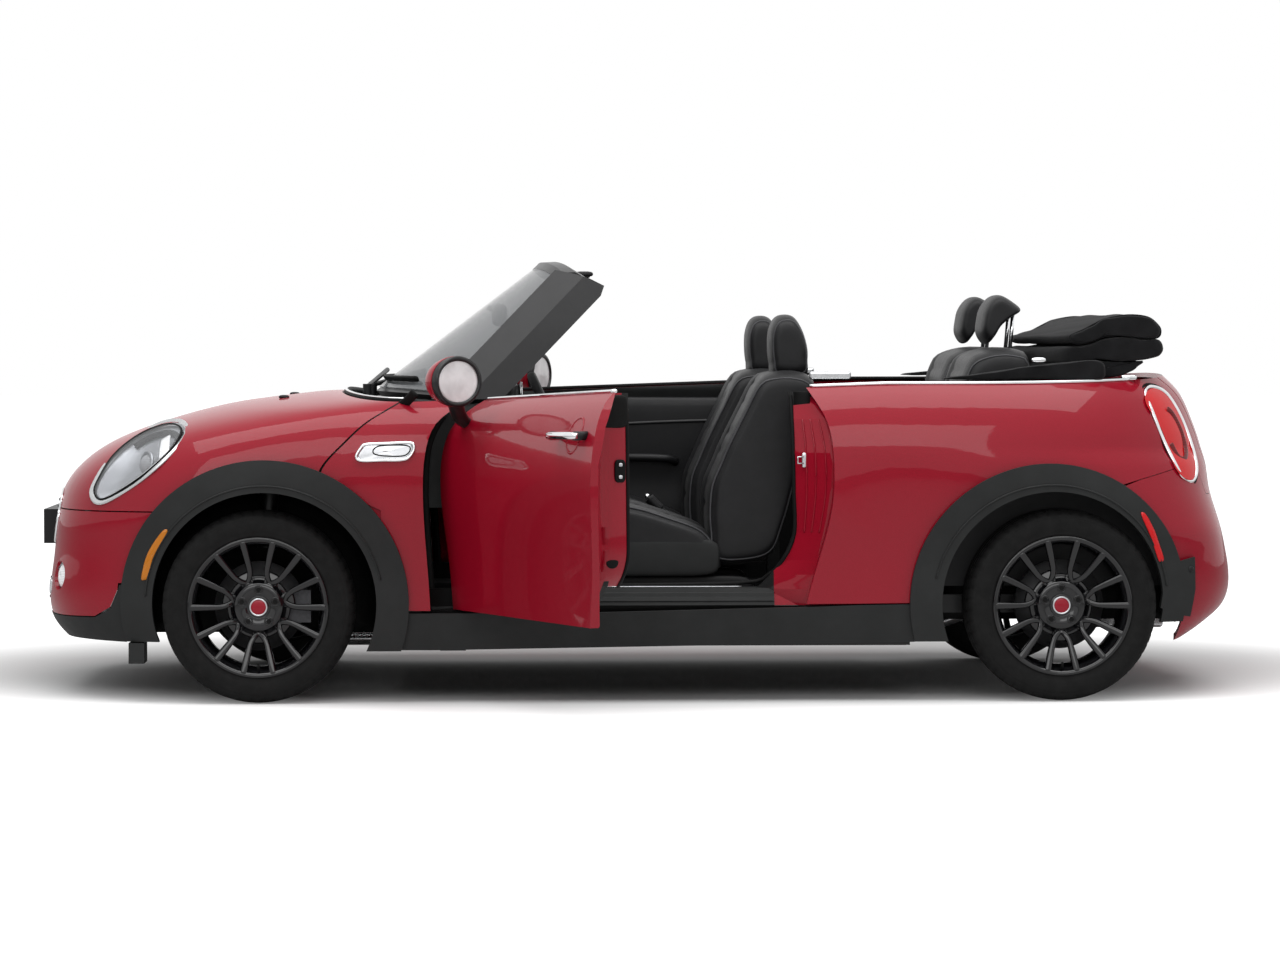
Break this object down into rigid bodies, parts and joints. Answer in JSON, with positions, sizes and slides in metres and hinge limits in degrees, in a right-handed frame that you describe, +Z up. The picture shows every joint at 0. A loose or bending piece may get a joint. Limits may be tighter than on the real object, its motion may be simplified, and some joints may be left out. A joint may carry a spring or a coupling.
{
  "type": "convertible car",
  "caption": "Small two-door convertible car with its fabric roof folded, the left door open, steered front wheels, opening bonnet and drop-down boot lid.",
  "frame": {"origin": "on the ground under the middle of the front axle", "axes": "-X is the front of the car, +X the rear, +Y the car's right side, +Z up"},
  "size_m": [3.8171, 2.935, 1.3781],
  "materials": {
    "red_paint": "gloss",
    "black_paint": "satin",
    "black_plastic": "matte",
    "trim_plastic": "grained",
    "mirror_housing": "gloss",
    "lamp_lens": "clear",
    "red_lens": "gloss",
    "screen_glass": "clear",
    "carpet": "matte",
    "black_fabric": "matte",
    "black_leather": "satin",
    "silver_cover": "satin",
    "cast_metal": "rough",
    "steel": "brushed",
    "aluminium": "satin",
    "gloss_black_alloy": "gloss",
    "tyre_rubber": "matte"
  },
  "bodies": {
    "chassis": {"body_frame": "red_paint", "floor_pan": "carpet", "front_bumper": "red_paint", "grille": "black_plastic", "front_side_panels": "red_paint", "quarter_panels": "red_paint", "lower_trims": "trim_plastic", "rear_bumper": "red_paint", "tail_lamps": "red_lens", "windscreen_frame": "black_paint", "windscreen_glass": "screen_glass", "scuttle": "black_plastic", "dashboard": "black_plastic", "centre_console": "black_plastic", "front_seats": "black_leather", "rear_seat": "black_leather", "quarter_trims": "black_plastic", "folded_roof": "black_fabric", "roof_mechanism": "silver_cover", "engine_block": "cast_metal", "radiator": "aluminium", "front_suspension": "steel", "rear_suspension": "steel", "exhaust": "steel", "arch_liners": "black_plastic"},
    "bonnet": {"bonnet": "red_paint", "headlamps": "lamp_lens"},
    "boot_lid": {"boot_lid": "red_paint"},
    "door_left": {"door_left": "red_paint", "door_trim_left": "black_plastic", "mirror_left": "mirror_housing"},
    "door_right": {"door_right": "red_paint", "door_trim_right": "black_plastic", "mirror_right": "mirror_housing"},
    "knuckle_left": {"knuckle_left": "aluminium"},
    "knuckle_right": {"knuckle_right": "aluminium"},
    "wheel_front_left": {"tyre_front_left": "tyre_rubber", "rim_front_left": "gloss_black_alloy"},
    "wheel_front_right": {"tyre_front_right": "tyre_rubber", "rim_front_right": "gloss_black_alloy"},
    "wheel_rear_left": {"tyre_rear_left": "tyre_rubber", "rim_rear_left": "gloss_black_alloy"},
    "wheel_rear_right": {"tyre_rear_right": "tyre_rubber", "rim_rear_right": "gloss_black_alloy"},
    "steering_wheel": {"steering_wheel": "black_leather"}
  },
  "joints": [
    {"name": "bonnet_hinge", "type": "hinge", "parent": "chassis", "child": "bonnet", "pos_m": [0.47, 0, 0.905], "axis": [0, 1, 0], "range_deg": [0, 50]},
    {"name": "boot_lid_hinge", "type": "hinge", "parent": "chassis", "child": "boot_lid", "pos_m": [3.036, 0, 0.648], "axis": [0, 1, 0], "range_deg": [0, 85]},
    {"name": "door_left_hinge", "type": "hinge", "parent": "chassis", "child": "door_left", "pos_m": [0.617, -0.825, 0.6], "axis": [0, 0, -1], "range_deg": [-69.5, 0]},
    {"name": "door_right_hinge", "type": "hinge", "parent": "chassis", "child": "door_right", "pos_m": [0.617, 0.825, 0.6], "axis": [0, 0, 1], "range_deg": [0, 69.5]},
    {"name": "steer_left", "type": "hinge", "parent": "chassis", "child": "knuckle_left", "pos_m": [0, -0.715, 0.299], "axis": [0, 0, 1], "range_deg": [-33, 33]},
    {"name": "steer_right", "type": "hinge", "parent": "chassis", "child": "knuckle_right", "pos_m": [0, 0.715, 0.299], "axis": [0, 0, 1], "range_deg": [-33, 33]},
    {"name": "spin_front_left", "type": "hinge", "parent": "knuckle_left", "child": "wheel_front_left", "pos_m": [0, -0.737, 0.299], "axis": [0, -1, 0], "continuous": true},
    {"name": "spin_front_right", "type": "hinge", "parent": "knuckle_right", "child": "wheel_front_right", "pos_m": [0, 0.737, 0.299], "axis": [0, -1, 0], "continuous": true},
    {"name": "spin_rear_left", "type": "hinge", "parent": "chassis", "child": "wheel_rear_left", "pos_m": [2.495, -0.737, 0.299], "axis": [0, -1, 0], "continuous": true},
    {"name": "spin_rear_right", "type": "hinge", "parent": "chassis", "child": "wheel_rear_right", "pos_m": [2.495, 0.737, 0.299], "axis": [0, -1, 0], "continuous": true},
    {"name": "steering_turn", "type": "hinge", "parent": "chassis", "child": "steering_wheel", "pos_m": [0.922, -0.37, 0.845], "axis": [0.9136, 0, 0.4067], "range_deg": [-500, 500]}
  ],
  "couplings": [
    {"joint": "steer_right", "follows": "steer_left", "ratio": 1},
    {"joint": "steering_turn", "follows": "steer_left", "ratio": 15}
  ]
}
